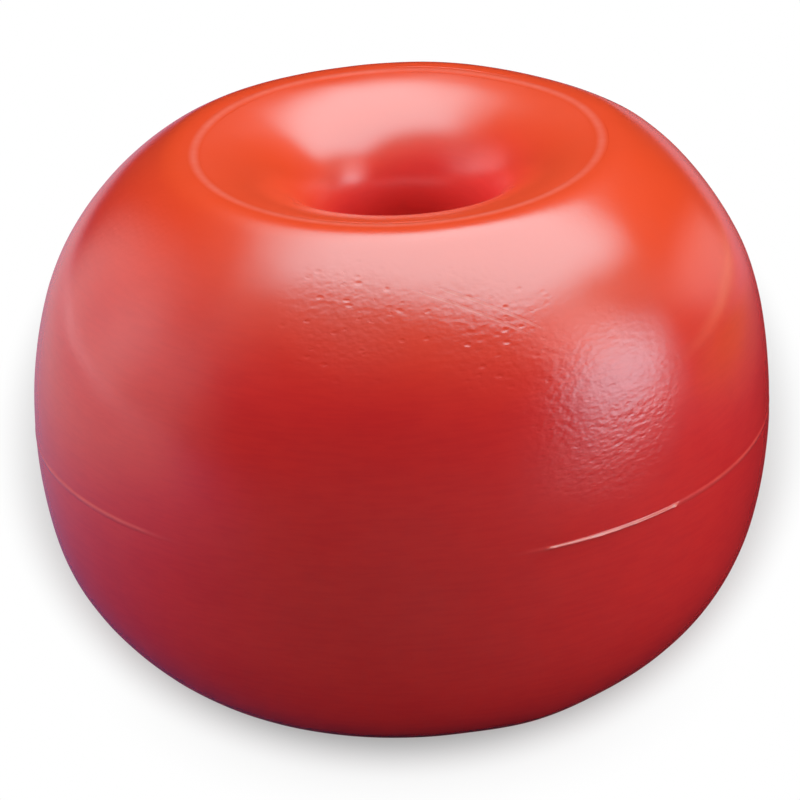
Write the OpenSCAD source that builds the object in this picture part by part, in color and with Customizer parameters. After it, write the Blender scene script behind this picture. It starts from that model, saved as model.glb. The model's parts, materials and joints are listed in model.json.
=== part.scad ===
// Hollow marker float for a rope line: a fat ring with a trumpet-shaped recess
// at each end of a straight rope hole. Two outer shells meet at the waist, two
// funnels line the hole, and rounded weld beads close the three seams that show.

/* [Float] */
// Diameter at the waist, the widest line
float_d = 200; // [160:1:260]
// Height from the bottom crest to the top crest
float_h = 147; // [120:1:190]
// How far each crest lies in from the waist
crest_in = 43; // [36:0.5:52]
// Tilt of the skin where the side runs into the shoulder (0 is upright)
side_tilt = 14.5; // [10:0.5:20]
// Tilt of the skin where the shoulder runs into the lip (90 is level)
shoulder_tilt = 62; // [50:0.5:72]
// Radius of the lip, just outside each crest
lip_r = 16; // [10:0.5:22]
// Wall thickness of every moulding
wall = 3; // [2.6:0.1:5]

/* [Rope hole] */
// Diameter of the straight hole
bore_d = 43; // [34:0.5:50]
// Length of the straight hole between the two trumpets
bore_len = 89; // [76:1:102]

/* [Seams] */
// How far the waist seam lies below the widest line
seam_drop = 2.8; // [0:0.1:6]
// How far each ring seam lies inside its crest
ring_in = 2.4; // [1.5:0.1:6]
// Length of the tongue that laps behind a seam
lap = 5; // [3:0.5:8]
// Clearance of a tongue in its rebate and of a bead in its groove
fit_gap = 0.15; // [0.05:0.05:0.25]

/* [Weld beads] */
// Radius of the rounded bead
bead_r = 0.8; // [0.6:0.05:0.9]
// How far a bead stands proud of the skin
bead_proud = 0.35; // [0.2:0.05:0.5]
// How far the thick run of the waist bead stands proud
thick_proud = 0.65; // [0.55:0.05:0.75]
// Bearing where the thick run starts, from the front towards the right
thick_from = 21; // [0:1:90]
// Angle that the thick run covers
thick_sweep = 24; // [5:1:90]

/* [Hidden] */

// Facets round a full turn, and the largest turn between points of an arc
$fn = 144;
arc_step = 3;

shell_colour = [0.82, 0.22, 0.12];
funnel_colour = [0.74, 0.15, 0.12];
weld_colour = [0.90, 0.36, 0.20];

// The section is drawn as radius and height, with the waist at height 0
top = 1;
bottom = -1;
front_bearing = -90;
level = 90;
inward = 180;

waist_r = float_d/2;
half_h = float_h/2;
crest_r = waist_r - crest_in;
ring_r = crest_r - ring_in;
bore_r = bore_d/2;
half_wall = wall/2;
clear_of_part = float_d + float_h;

// Side and shoulder are arcs. Their radii follow from reaching the lip with one smooth line.
reach_in = crest_in - lip_r*cos(shoulder_tilt);
reach_up = half_h - lip_r*(1 - sin(shoulder_tilt));
side_in = 1 - cos(side_tilt);
side_up = sin(side_tilt);
shoulder_in = cos(side_tilt) - cos(shoulder_tilt);
shoulder_up = sin(shoulder_tilt) - sin(side_tilt);
det = side_in*shoulder_up - shoulder_in*side_up;
side_r = (reach_in*shoulder_up - reach_up*shoulder_in)/det;
shoulder_r = (side_in*reach_up - side_up*reach_in)/det;

side_c = [waist_r - side_r, 0];
shoulder_c = side_c + (side_r - shoulder_r)*[cos(side_tilt), sin(side_tilt)];
lip_c = [crest_r, half_h - lip_r];

// Each trumpet is a quarter of an ellipse, level at the crest and upright at the hole
trumpet_c = [crest_r, bore_len/2];
trumpet_w = crest_r - bore_r;
trumpet_h = half_h - bore_len/2;
ring_t = acos(-ring_in/trumpet_w);

// The waist seam lies on the side arc, and the tube of the hole is split at its middle
waist_seam = -seam_drop;
tube_seam = 0;
seam_tilt = asin(waist_seam/side_r);

// The beads sit half sunk in round grooves along the seams
waist_bead_c = side_c + (side_r + bead_proud - bead_r)*[cos(seam_tilt), sin(seam_tilt)];
thick_bead_c = side_c + (side_r + thick_proud - bead_r)*[cos(seam_tilt), sin(seam_tilt)];
ring_bead_c = trumpet(ring_t, bead_r - bead_proud);

// The float stands on its lower crest, or on the lower ring bead where that reaches lower
stand_h = max(half_h, ring_bead_c.y + bead_r);

// Number of straight steps that stand for a turn between two angles
function steps(from, to) = ceil((to - from)/arc_step);

// Points along an arc, without its first
function arc(centre, radius, from, to) =
    let (count = steps(from, to))
    [for (i = [1:count])
        let (a = from + (to - from)*i/count)
        centre + radius*[cos(a), sin(a)]];

// Point of the upper trumpet at ellipse angle t, set in from the skin
function trumpet(t, inset) =
    let (normal = [trumpet_h*cos(t), trumpet_w*sin(t)])
    trumpet_c + [trumpet_w*cos(t), trumpet_h*sin(t)] - inset*normal/norm(normal);

// Upper half of the section's outline, from the waist over the crest to the hole
function upper_outline(inset) =
    let (count = steps(level, inward))
    concat(
        [[waist_r - inset, 0]],
        arc(side_c, side_r - inset, 0, side_tilt),
        arc(shoulder_c, shoulder_r - inset, side_tilt, shoulder_tilt),
        arc(lip_c, lip_r - inset, shoulder_tilt, level),
        [for (i = [1:count]) trumpet(level + (inward - level)*i/count, inset)]);

// Closed outline of the whole section
function outline(inset) =
    let (upper = upper_outline(inset))
    concat(upper, [for (i = [len(upper) - 1:-1:1]) [upper[i].x, -upper[i].y]]);

// Turns a section drawn about the waist into a solid that stands on the ground
module turned() {
    translate([0, 0, stand_h]) rotate_extrude() children();
}

// Layer of the wall between two depths below the skin
module layer(from, to) {
    difference() {
        polygon(outline(from));
        polygon(outline(to));
    }
}

// Keeps what lies between two radii and two heights
module within(r_from, r_to, z_from, z_to) {
    intersection() {
        children();
        translate([r_from, z_from]) square([r_to - r_from, z_to - z_from]);
    }
}

// Round grooves along the seams
module grooves() {
    translate(waist_bead_c) circle(bead_r + fit_gap);
    for (end = [top, bottom]) {
        translate([ring_bead_c.x, end*ring_bead_c.y]) circle(bead_r + fit_gap);
    }
}

// Heights between which an end's moulding lies, split at a seam. An upper moulding's
// inner layer starts the lap higher, for the lower moulding's tongue.
function lowest(end, seam) = end == bottom ? -clear_of_part : seam;
function highest(end, seam) = end == top ? clear_of_part : seam;
function lowest_inside(end, seam) = lowest(end, seam + lap);

// Keeps the lower moulding's tongue: what lies between two radii, up to the lap above a seam
module tongue(r_from, r_to, seam) {
    within(r_from, r_to, seam - fit_gap, seam + lap - fit_gap) layer(half_wall + fit_gap, wall);
}

// Outer shell of one end: the upper one is rebated at the waist, the lower one has the tongue
module shell(end) {
    low = lowest(end, waist_seam);
    high = highest(end, waist_seam);
    color(shell_colour) turned() difference() {
        union() {
            within(ring_r, clear_of_part, low, high) layer(0, half_wall);
            within(ring_r + lap, clear_of_part, lowest_inside(end, waist_seam), high) layer(half_wall, wall);
            if (end == bottom) {
                tongue(ring_r + lap, clear_of_part, waist_seam);
            }
        }
        grooves();
    }
}

// Funnel of one end: trumpet and half of the hole's tube, with a tongue under the shell's rim
module funnel(end) {
    low = lowest(end, tube_seam);
    high = highest(end, tube_seam);
    color(funnel_colour) turned() difference() {
        union() {
            within(0, ring_r, low, high) layer(0, half_wall);
            within(0, ring_r, lowest_inside(end, tube_seam), high) layer(half_wall, wall);
            within(ring_r - fit_gap, ring_r + lap - fit_gap, low, high) layer(half_wall + fit_gap, wall);
            if (end == bottom) {
                tongue(0, ring_r, tube_seam);
            }
        }
        grooves();
    }
}

// Bead in the ring seam of one end
module ring_weld(end) {
    color(weld_colour) turned() translate([ring_bead_c.x, end*ring_bead_c.y]) circle(bead_r);
}

module upper_shell() {
    shell(top);
}

module lower_shell() {
    shell(bottom);
}

module top_funnel() {
    funnel(top);
}

module bottom_funnel() {
    funnel(bottom);
}

// Section of the waist bead's thick run, which spreads over the skin on both sides of the groove
module thick_section() {
    difference() {
        translate(thick_bead_c) circle(bead_r);
        polygon(outline(-fit_gap));
    }
}

// Bead round the waist, with its thick run
module waist_weld() {
    color(weld_colour) union() {
        turned() translate(waist_bead_c) circle(bead_r);
        translate([0, 0, stand_h]) rotate([0, 0, front_bearing + thick_from])
            rotate_extrude(angle = thick_sweep) thick_section();
    }
}

module top_ring_weld() {
    ring_weld(top);
}

module bottom_ring_weld() {
    ring_weld(bottom);
}

upper_shell();
lower_shell();
top_funnel();
bottom_funnel();
waist_weld();
top_ring_weld();
bottom_ring_weld();
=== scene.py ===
import json
import logging
import math
from collections.abc import Mapping, Sequence
from dataclasses import dataclass, field
from enum import Enum

import bpy
import numpy as np
from mathutils import Matrix, Quaternion, Vector


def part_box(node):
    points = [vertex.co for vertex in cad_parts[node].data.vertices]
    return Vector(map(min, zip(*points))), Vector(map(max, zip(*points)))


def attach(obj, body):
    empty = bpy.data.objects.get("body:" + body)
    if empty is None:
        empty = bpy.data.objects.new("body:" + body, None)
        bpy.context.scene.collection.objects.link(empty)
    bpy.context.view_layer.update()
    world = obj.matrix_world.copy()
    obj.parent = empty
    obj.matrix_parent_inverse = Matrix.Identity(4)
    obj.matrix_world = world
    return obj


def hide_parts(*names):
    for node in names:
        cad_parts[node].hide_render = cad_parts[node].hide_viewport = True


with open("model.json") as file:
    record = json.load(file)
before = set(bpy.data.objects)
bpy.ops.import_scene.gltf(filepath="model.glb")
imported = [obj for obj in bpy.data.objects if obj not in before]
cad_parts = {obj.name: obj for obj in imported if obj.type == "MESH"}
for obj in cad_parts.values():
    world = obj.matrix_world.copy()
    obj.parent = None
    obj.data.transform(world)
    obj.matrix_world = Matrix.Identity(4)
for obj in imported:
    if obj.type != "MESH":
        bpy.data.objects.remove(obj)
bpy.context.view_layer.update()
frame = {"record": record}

BODY = "root"
# Attribute that carries the painted highlight on the beads' crests.
CREST_HIGHLIGHT = "pale"
MM = 0.001
LOG = logging.getLogger("float")

Colour = tuple[float, float, float]
Point = tuple[float, float, float]

BLACK: Colour = (0.0, 0.0, 0.0)
WHITE: Colour = (1.0, 1.0, 1.0)


class End(Enum):
    """The two ends of the float, by the sign of their height above the widest line."""

    TOP = 1
    BOTTOM = -1


class Slot(Enum):
    """Material slots of the record, named like the finishes."""

    SHELL = "shell_plastic"
    FUNNEL = "funnel_plastic"
    WELD = "weld_plastic"


def smooth(x: np.ndarray | float, low: float, high: float) -> np.ndarray:
    """Smooth step from 0 at low to 1 at high.

    Args:
        x: Values to map.
        low: Value that gives 0.
        high: Value that gives 1.

    Returns:
        The mapped values, between 0 and 1.
    """
    t = np.clip((np.asarray(x, dtype=float) - low) / (high - low), 0.0, 1.0)
    return t * t * (3.0 - 2.0 * t)


def on_bearing(radius: float, bearing: float, height: float) -> Point:
    """Point at a bearing in degrees from the front (-Y) towards the right (+X)."""
    turn = math.radians(bearing)
    return (radius * math.sin(turn), -radius * math.cos(turn), height)


@dataclass(frozen=True)
class SkinPoints:
    """Points of the section's skin: radius, height above the widest line, and outward normal."""

    r: np.ndarray
    z: np.ndarray
    nr: np.ndarray
    nz: np.ndarray

    def sunk(self, depth: np.ndarray | float) -> tuple[np.ndarray, np.ndarray]:
        """Radius and height of the points moved in from the skin by depth."""
        return self.r - depth * self.nr, self.z - depth * self.nz


@dataclass(frozen=True)
class Dent:
    """A wide shallow dent in the moulded skin, or a bulge where its depth is negative.

    Attributes:
        bearing: Bearing of its middle, in degrees.
        height: Height of its middle above the widest line, in metres.
        radius: Radius at which it has faded out, in metres.
        depth: Depth in its middle, in metres.
    """

    bearing: float
    height: float
    radius: float
    depth: float


@dataclass
class Section:
    """Upper half of the section through the float's axis, in metres.

    The skin is measured by its run: the length along it from the widest line, over the
    crest and down the trumpet to the middle of the rope hole. The lower half mirrors it.

    Attributes:
        waist_r: Radius at the widest line.
        half_h: Height of a crest above the widest line.
        mid_z: Height of the widest line above the ground.
        bore_r: Radius of the straight hole.
        bore_len: Length of the straight hole.
        ring_r: Radius of the ring seams.
        seam_z: Height of the waist seam above the widest line.
        crest_in: How far the crest lies in from the widest line.
        lip_r: Radius of the lip outside the crest.
        side_tilt: Tilt in degrees where the side runs into the shoulder.
        shoulder_tilt: Tilt in degrees where the shoulder runs into the lip.
        wall: Thickness of the wall.
        lean: How far each end leans to the right.
        hole_aside: How far the hole lies to the right of the middle and behind it.
        hole_blend: Depth below the crest over which the trumpet moves over to the hole.
        dents: Dents and bulges of the skin.
        below: How far the skin is laid out past the widest line.
        fine: Distance between the points that lay it out.
        table: Those points.
        run: Runs of those points.
        ring_run: Run of the ring seam.
        end_run: Run of the middle of the hole.
    """

    waist_r: float
    half_h: float
    mid_z: float
    bore_r: float
    bore_len: float
    ring_r: float
    seam_z: float
    crest_in: float = 43.0 * MM
    lip_r: float = 16.0 * MM
    side_tilt: float = 14.5
    shoulder_tilt: float = 62.0
    wall: float = 3.0 * MM
    lean: Mapping[End, float] = field(default_factory=lambda: {End.TOP: 2.0 * MM, End.BOTTOM: 0.4 * MM})
    hole_aside: tuple[float, float] = (2.5 * MM, 2.5 * MM)
    hole_blend: float = 40.0 * MM
    dents: tuple[Dent, ...] = (
        Dent(100.0, 52 * MM, 38 * MM, 1.25 * MM),
        Dent(143.0, 72 * MM, 34 * MM, 0.65 * MM),
        Dent(-130.0, 71 * MM, 44 * MM, -0.45 * MM),
        Dent(-75.0, -32 * MM, 40 * MM, -0.7 * MM),
        Dent(27.0, -68 * MM, 22 * MM, -0.6 * MM),
    )
    below: float = 12.0 * MM
    fine: float = 0.1 * MM
    table: SkinPoints = field(init=False)
    run: np.ndarray = field(init=False)
    ring_run: float = field(init=False)
    end_run: float = field(init=False)

    def __post_init__(self) -> None:
        """Lays out the skin and measures the runs of its seams."""
        self.table = self._skin()
        step = np.hypot(np.diff(self.table.r), np.diff(self.table.z))
        run = np.concatenate([[0.0], np.cumsum(step)])
        crest = int(np.argmax(self.table.z))
        self.run = run - np.interp(0.0, self.table.z[:crest], run[:crest])
        self.ring_run = float(np.interp(-self.ring_r, -self.table.r[crest:], self.run[crest:]))
        self.end_run = float(self.run[-1])

    @classmethod
    def from_frame(cls) -> "Section":
        """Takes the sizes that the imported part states.

        Returns:
            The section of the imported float.
        """
        bore = next(m for m in frame["record"]["mounts"] if m["name"] == "rope_bore")
        mid_z = bore["pos_m"][2]
        shell_low, shell_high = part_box("upper_shell")
        ring_low, ring_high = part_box("top_ring_weld")
        weld_low, weld_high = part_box("waist_weld")
        bead_r = (ring_high[2] - ring_low[2]) / 2
        return cls(
            waist_r=(shell_high[0] - shell_low[0]) / 2,
            half_h=shell_high[2] - mid_z,
            mid_z=mid_z,
            bore_r=bore["dims"]["r_mm"] * MM,
            bore_len=bore["dims"]["length_mm"] * MM,
            ring_r=(ring_high[0] - ring_low[0]) / 2 - bead_r,
            seam_z=(weld_low[2] + weld_high[2]) / 2 - mid_z,
        )

    def _skin(self) -> SkinPoints:
        """Dense points of the side, shoulder, lip, trumpet and hole.

        Returns:
            The skin from a little below the widest line to the middle of the hole.
        """
        a = math.radians(self.side_tilt)
        b = math.radians(self.shoulder_tilt)
        reach_in = self.crest_in - self.lip_r * math.cos(b)
        reach_up = self.half_h - self.lip_r * (1 - math.sin(b))
        shoulder_in = math.cos(a) - math.cos(b)
        shoulder_up = math.sin(b) - math.sin(a)
        det = (1 - math.cos(a)) * shoulder_up - shoulder_in * math.sin(a)
        side_r = (reach_in * shoulder_up - reach_up * shoulder_in) / det
        shoulder_r = ((1 - math.cos(a)) * reach_up - math.sin(a) * reach_in) / det
        crest_r = self.waist_r - self.crest_in
        side_c = np.array([self.waist_r - side_r, 0.0])
        shoulder_c = side_c + (side_r - shoulder_r) * np.array([math.cos(a), math.sin(a)])
        lip_c = np.array([crest_r, self.half_h - self.lip_r])
        rows = [
            self._arc(side_c, side_r, -self.below / side_r, a),
            self._arc(shoulder_c, shoulder_r, a, b),
            self._arc(lip_c, self.lip_r, b, math.pi / 2),
            self._trumpet(crest_r),
            self._hole(),
        ]
        return SkinPoints(*np.concatenate(rows, axis=1))

    def _arc(self, centre: np.ndarray, radius: float, start: float, stop: float) -> np.ndarray:
        """Rows r, z, nr, nz of an arc.

        Args:
            centre: Radius and height of its centre.
            radius: Its radius.
            start: Angle above level where it starts, in radians.
            stop: Angle where it stops.

        Returns:
            The rows, without the last point.
        """
        count = max(2, round(radius * (stop - start) / self.fine))
        t = np.linspace(start, stop, count, endpoint=False)
        normal = np.array([np.cos(t), np.sin(t)])
        return np.concatenate([centre[:, None] + radius * normal, normal])

    def _trumpet(self, crest_r: float) -> np.ndarray:
        """Rows r, z, nr, nz of the quarter ellipse from the crest to the hole.

        Args:
            crest_r: Radius of the crest.

        Returns:
            The rows, without the last point.
        """
        wide = crest_r - self.bore_r
        tall = self.half_h - self.bore_len / 2
        count = round(math.pi / 2 * (wide + tall) / 2 / self.fine)
        t = np.linspace(math.pi / 2, math.pi, count, endpoint=False)
        normal = np.array([tall * np.cos(t), wide * np.sin(t)])
        normal /= np.hypot(*normal)
        return np.array([crest_r + wide * np.cos(t), self.bore_len / 2 + tall * np.sin(t), *normal])

    def _hole(self) -> np.ndarray:
        """Rows r, z, nr, nz of the straight hole.

        Returns:
            The rows, down to the middle of the hole.
        """
        z = np.linspace(self.bore_len / 2, 0.0, round(self.bore_len / 2 / self.fine))
        ones = np.ones_like(z)
        return np.array([self.bore_r * ones, z, -ones, 0 * ones])

    def at(self, run: np.ndarray) -> SkinPoints:
        """Points of the upper skin at the given runs."""
        return SkinPoints(*(np.interp(run, self.run, row) for row in vars(self.table).values()))

    def run_at(self, height: float) -> float:
        """Run of the outer skin at a height above the widest line."""
        crest = int(np.argmax(self.table.z))
        return float(np.interp(height, self.table.z[:crest], self.run[:crest]))

    def aside(self, end: End, r: np.ndarray, z: np.ndarray) -> tuple[np.ndarray, np.ndarray]:
        """How far the moulded skin lies off its true place: an end leans, and the hole is off centre.

        Args:
            end: End that the points belong to.
            r: Radii.
            z: Heights from the widest line towards the end.

        Returns:
            The offsets along X and Y.
        """
        in_hole = smooth(self.half_h - z, 0.0, self.hole_blend) * (r < self.waist_r - self.crest_in)
        along_x = self.lean[end] * smooth(z, 0.0, self.half_h) + self.hole_aside[0] * in_hole
        return along_x, self.hole_aside[1] * in_hole

    def on_skin(self, bearing: float, height: float) -> tuple[Vector, Vector]:
        """Place and outward normal on the outer skin.

        Args:
            bearing: Degrees from the front towards the right.
            height: Height above the widest line, in metres.

        Returns:
            The point and the normal in the part's frame.
        """
        end = End.TOP if height >= 0 else End.BOTTOM
        skin = self.at(np.array([self.run_at(abs(height))]))
        place = Vector(on_bearing(float(skin.r[0]), bearing, self.mid_z + end.value * float(skin.z[0])))
        place.x += float(self.aside(end, skin.r, skin.z)[0][0])
        return place, Vector(on_bearing(float(skin.nr[0]), bearing, end.value * float(skin.nz[0])))

    def dented(self, places: np.ndarray) -> np.ndarray:
        """Moves places by the dents and bulges.

        Args:
            places: Array whose last axis holds x, y and z in metres.

        Returns:
            The moved places.
        """
        moved = places.copy()
        for dent in self.dents:
            middle, normal = self.on_skin(dent.bearing, dent.height)
            away = np.linalg.norm(places - np.array(middle), axis=-1)
            share = 1 - smooth(away, 0.0, dent.radius)
            moved -= dent.depth * share[..., None] * np.array(normal)
        return moved


@dataclass(frozen=True)
class Unevenness:
    """Smooth unevenness of a moulded skin: a sum of waves in space with seeded phases.

    Attributes:
        seed: Seed of the directions and phases.
        octaves: Pairs of wavelength and height, in metres.
        waves: Number of waves in an octave.
    """

    seed: int
    octaves: tuple[tuple[float, float], ...]
    waves: int = 18

    def height(self, places: np.ndarray) -> np.ndarray:
        """Height of the unevenness at some places.

        Args:
            places: Array whose last axis holds x, y and z in metres.

        Returns:
            The heights in metres, in the shape of the places without the last axis.
        """
        rng = np.random.default_rng(self.seed)
        total = np.zeros(places.shape[:-1])
        for length, height in self.octaves:
            for _ in range(self.waves):
                direction = rng.normal(size=3)
                direction *= 2 * math.pi / length / np.linalg.norm(direction)
                phase = rng.uniform(0, 2 * math.pi)
                total += height * math.sqrt(2 / self.waves) * np.sin(places @ direction + phase)
        return total


@dataclass
class Turned:
    """A closed section turned about the axis into a mesh.

    Attributes:
        section: The float's section.
        name: Name of the piece.
        end: End that the section belongs to, which mirrors it for the bottom.
        steps: Steps round the full turn.
    """

    section: Section
    name: str
    end: End
    steps: int

    def bearings(self) -> np.ndarray:
        """Bearings of the steps, in radians."""
        return np.linspace(0.0, 2 * math.pi, self.steps, endpoint=False)

    def spread(self, r: np.ndarray, z: np.ndarray) -> np.ndarray:
        """Places of a section that may change along the turn.

        Args:
            r: Radii, by section point or by section point and step.
            z: Heights above the widest line, in the same shape.

        Returns:
            Array of section points by steps by x, y and z.
        """
        turn = self.bearings()
        r2 = np.broadcast_to(r if r.ndim == 2 else r[:, None], (len(r), self.steps))
        z2 = np.broadcast_to(z if z.ndim == 2 else z[:, None], (len(z), self.steps))
        along_x, along_y = self.section.aside(self.end, r2, z2)
        up = self.section.mid_z + self.end.value * z2
        places = np.stack([r2 * np.sin(turn) + along_x, along_y - r2 * np.cos(turn), up], axis=-1)
        return self.section.dented(places)

    def mesh(
        self, places: np.ndarray, sharp_angle: float, marks: Mapping[str, np.ndarray] | None = None
    ) -> bpy.types.Object:
        """Makes the mesh object of a closed section.

        Args:
            places: Section points by steps by x, y and z; both ways round close up.
            sharp_angle: Angle in degrees above which an edge stays sharp.
            marks: Named numbers for each point, for the finish to read.

        Returns:
            The new object, linked to the scene.
        """
        count = len(places)
        i = np.arange(count)[:, None] * self.steps
        up = (np.arange(count)[:, None] + 1) % count * self.steps
        j = np.arange(self.steps)[None, :]
        on = (j + 1) % self.steps
        corners = [i + j, i + on, up + on, up + j]
        if self.end is End.BOTTOM:
            corners.reverse()
        faces = np.stack([np.broadcast_to(c, (count, self.steps)) for c in corners], axis=-1)
        mesh = bpy.data.meshes.new(self.name)
        mesh.from_pydata(places.reshape(-1, 3).tolist(), [], faces.reshape(-1, 4).tolist())
        mesh.shade_smooth()
        mesh.set_sharp_from_angle(angle=math.radians(sharp_angle))
        for name, values in (marks or {}).items():
            mesh.attributes.new(name, "FLOAT", "POINT").data.foreach_set("value", values.ravel())
        mesh.update()
        piece = bpy.data.objects.new(self.name, mesh)
        bpy.context.scene.collection.objects.link(piece)
        return piece


def dress(piece: bpy.types.Object, material: bpy.types.Material, slot: Slot, *nodes: str) -> None:
    """Gives a piece its finish, its body and the solids that it stands for.

    Args:
        piece: Piece to dress.
        material: Its finish.
        slot: Material slot of the record; not used.
        nodes: Solids that the piece replaces.
    """
    piece.data.materials.append(material)
    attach(piece, BODY)
    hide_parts(*nodes)
    LOG.info("%s: %d faces, stands for %s", piece.name, len(piece.data.polygons), ", ".join(nodes))


@dataclass(frozen=True)
class Groove:
    """Shallow groove along a seam that a weld bead fills.

    Attributes:
        half_width: Half of its width on the skin.
        depth: Depth at the seam itself.
    """

    half_width: float
    depth: float = 0.5 * MM

    def depth_at(self, offset: np.ndarray) -> np.ndarray:
        """Depth below the skin at an offset from the seam."""
        return self.depth * (1 - np.minimum(1.0, np.abs(offset) / self.half_width) ** 2)


@dataclass
class Moulding:
    """One turned moulding between two runs of the skin, with the wall behind it.

    Attributes:
        section: The float's section.
        name: Name of the piece.
        end: End that it belongs to.
        start: Run where the skin starts.
        stop: Run where the skin stops.
        grooves: Weld grooves along the start and along the stop, where there are any.
        uneven: Unevenness of its skin.
        steps: Steps round the full turn.
        spacing: Distance between points along the skin.
        edge_points: Points across each groove.
        inner_points: Points along the back of the wall.
        calm: Distance from a seam over which the unevenness dies out.
        sharp_angle: Angle in degrees above which an edge stays sharp.
    """

    section: Section
    name: str
    end: End
    start: float
    stop: float
    grooves: tuple[Groove | None, Groove | None]
    uneven: Unevenness
    steps: int = 640
    spacing: float = 1.0 * MM
    edge_points: int = 5
    inner_points: int = 24
    calm: float = 5.0 * MM
    sharp_angle: float = 20.0

    def build(self) -> bpy.types.Object:
        """Builds the moulding's mesh.

        Returns:
            The new piece.
        """
        near, far = self.grooves
        low = self.start + (near.half_width if near else 0.0)
        high = self.stop - (far.half_width if far else 0.0)
        skin_run = np.linspace(low, high, round((high - low) / self.spacing) + 1)
        depth_skin = np.zeros_like(skin_run)
        far_run, far_depth = self._edge(self.stop, high, far)
        near_run, near_depth = self._edge(self.start, low, near)
        back_run = np.linspace(self.stop, self.start, self.inner_points)
        back_depth = np.full_like(back_run, self.section.wall)
        run = np.concatenate([skin_run, far_run, back_run, near_run[::-1]])
        depth = np.concatenate([depth_skin, far_depth, back_depth, near_depth[::-1]])
        skin = self.section.at(run)
        r, z = skin.sunk(depth)
        turned = Turned(self.section, self.name, self.end, self.steps)
        places = turned.spread(r, z)
        share = smooth(run - self.start, 0.0, self.calm) * smooth(self.stop - run, 0.0, self.calm)
        share = np.where(depth == 0.0, share, 0.0)
        lift = self.uneven.height(places) * share[:, None]
        r2 = r[:, None] + lift * skin.nr[:, None]
        z2 = z[:, None] + lift * skin.nz[:, None]
        return turned.mesh(turned.spread(r2, z2), self.sharp_angle)

    def _edge(self, seam: float, inner: float, groove: Groove | None) -> tuple[np.ndarray, np.ndarray]:
        """Runs and depths of the groove's half beside a seam.

        Args:
            seam: Run of the seam.
            inner: Run where the plain skin ends.
            groove: The groove, if there is one.

        Returns:
            The runs and depths from the skin's edge to the seam; empty for a plain edge.
        """
        if groove is None:
            return np.empty(0), np.empty(0)
        run = np.linspace(inner, seam, self.edge_points + 1)[1:]
        return run, groove.depth_at(run - seam)


@dataclass(frozen=True)
class Stretch:
    """A stretch of a bead with its own height and sharpness.

    Attributes:
        start: Bearing in degrees where it starts.
        stop: Bearing where it stops.
        proud: Height above the skin, in metres.
        blend: Degrees over which it fades in and out.
        sharpness: Power of the bell that gives the bead its cross-section.
    """

    start: float
    stop: float
    proud: float
    blend: float
    sharpness: float = 1.0

    def weight(self, bearing: np.ndarray) -> np.ndarray:
        """Share of this stretch along the turn.

        Args:
            bearing: Bearings in degrees between -180 and 180.

        Returns:
            The shares, 0 to 1.
        """
        rise = smooth(bearing, self.start - self.blend / 2, self.start + self.blend / 2)
        fall = smooth(bearing, self.stop - self.blend / 2, self.stop + self.blend / 2)
        return rise * (1 - fall)


@dataclass(frozen=True)
class Blob:
    """A round drop at the end of a bead's stretch.

    Attributes:
        bearing: Bearing in degrees.
        proud: Extra height above the skin, in metres.
        radius: Radius of the drop, in metres.
    """

    bearing: float
    proud: float
    radius: float


@dataclass
class WeldBead:
    """A bead that fills the groove along a seam, higher in some stretches than in others.

    Attributes:
        section: The float's section.
        name: Name of the piece.
        end: End that it belongs to.
        seam: Run of the seam.
        proud: Usual height above the skin.
        groove: Groove that it fills.
        pale_at: Height above the skin at which the bead's painted highlight is full.
        seed: Seed of the wandering of its height.
        stretches: Stretches with a height of their own.
        blobs: Drops on the bead.
        ripple: Share by which the height wanders along the seam.
        waves: Numbers of waves in a full turn that the wandering is made of.
        steps: Steps round the full turn.
        across: Points across the top.
        sharp_angle: Angle in degrees above which an edge stays sharp.
    """

    section: Section
    name: str
    end: End
    seam: float
    proud: float
    groove: Groove
    pale_at: float
    seed: int
    stretches: tuple[Stretch, ...] = ()
    blobs: tuple[Blob, ...] = ()
    ripple: float = 0.12
    waves: tuple[int, ...] = (3, 7, 13, 29, 53, 97)
    steps: int = 1440
    across: int = 15
    sharp_angle: float = 60.0

    def build(self) -> bpy.types.Object:
        """Builds the bead's mesh.

        Returns:
            The new piece.
        """
        turned = Turned(self.section, self.name, self.end, self.steps)
        bearing = np.degrees(turned.bearings())
        bearing = np.where(bearing > 180.0, bearing - 360.0, bearing)
        proud, sharpness = self._heights(bearing)
        offset = np.linspace(-1.0, 1.0, self.across) * self.groove.half_width
        bell = 0.5 * (1 + np.cos(math.pi * offset / self.groove.half_width))
        top = proud[None, :] * bell[:, None] ** sharpness[None, :]
        for blob in self.blobs:
            along = np.radians(bearing - blob.bearing) * self.section.at(np.array([self.seam])).r
            reach = np.hypot(along[None, :], offset[:, None]) / blob.radius
            top += blob.proud * (1 - smooth(reach, 0.0, 1.0)) * (bell[:, None] > 0)
        under = offset[-2:0:-1]
        run = self.seam + np.concatenate([offset, under])
        bottom = np.repeat(self.groove.depth_at(under)[:, None], self.steps, axis=1)
        depth = np.concatenate([-top, bottom])
        skin = self.section.at(run)
        r = skin.r[:, None] - depth * skin.nr[:, None]
        z = skin.z[:, None] - depth * skin.nz[:, None]
        # Painted highlight: the higher the bead stands above the skin, the paler it is painted.
        pale = np.clip(-depth / self.pale_at, 0.0, 1.0)
        return turned.mesh(turned.spread(r, z), self.sharp_angle, {CREST_HIGHLIGHT: pale})

    def _heights(self, bearing: np.ndarray) -> tuple[np.ndarray, np.ndarray]:
        """Height and sharpness of the bead along the turn.

        Args:
            bearing: Bearings in degrees between -180 and 180.

        Returns:
            The heights in metres and the powers of the bell.
        """
        rng = np.random.default_rng(self.seed)
        wander = np.zeros_like(bearing)
        for waves in self.waves:
            phase = rng.uniform(0, 2 * math.pi)
            wander += np.sin(np.radians(bearing) * waves + phase) / math.sqrt(len(self.waves))
        proud = self.proud * np.ones_like(bearing)
        sharpness = np.ones_like(bearing)
        for stretch in self.stretches:
            share = stretch.weight(bearing)
            proud = proud * (1 - share) + stretch.proud * share
            sharpness = sharpness * (1 - share) + stretch.sharpness * share
        return proud * (1 + self.ripple * wander), sharpness


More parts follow.
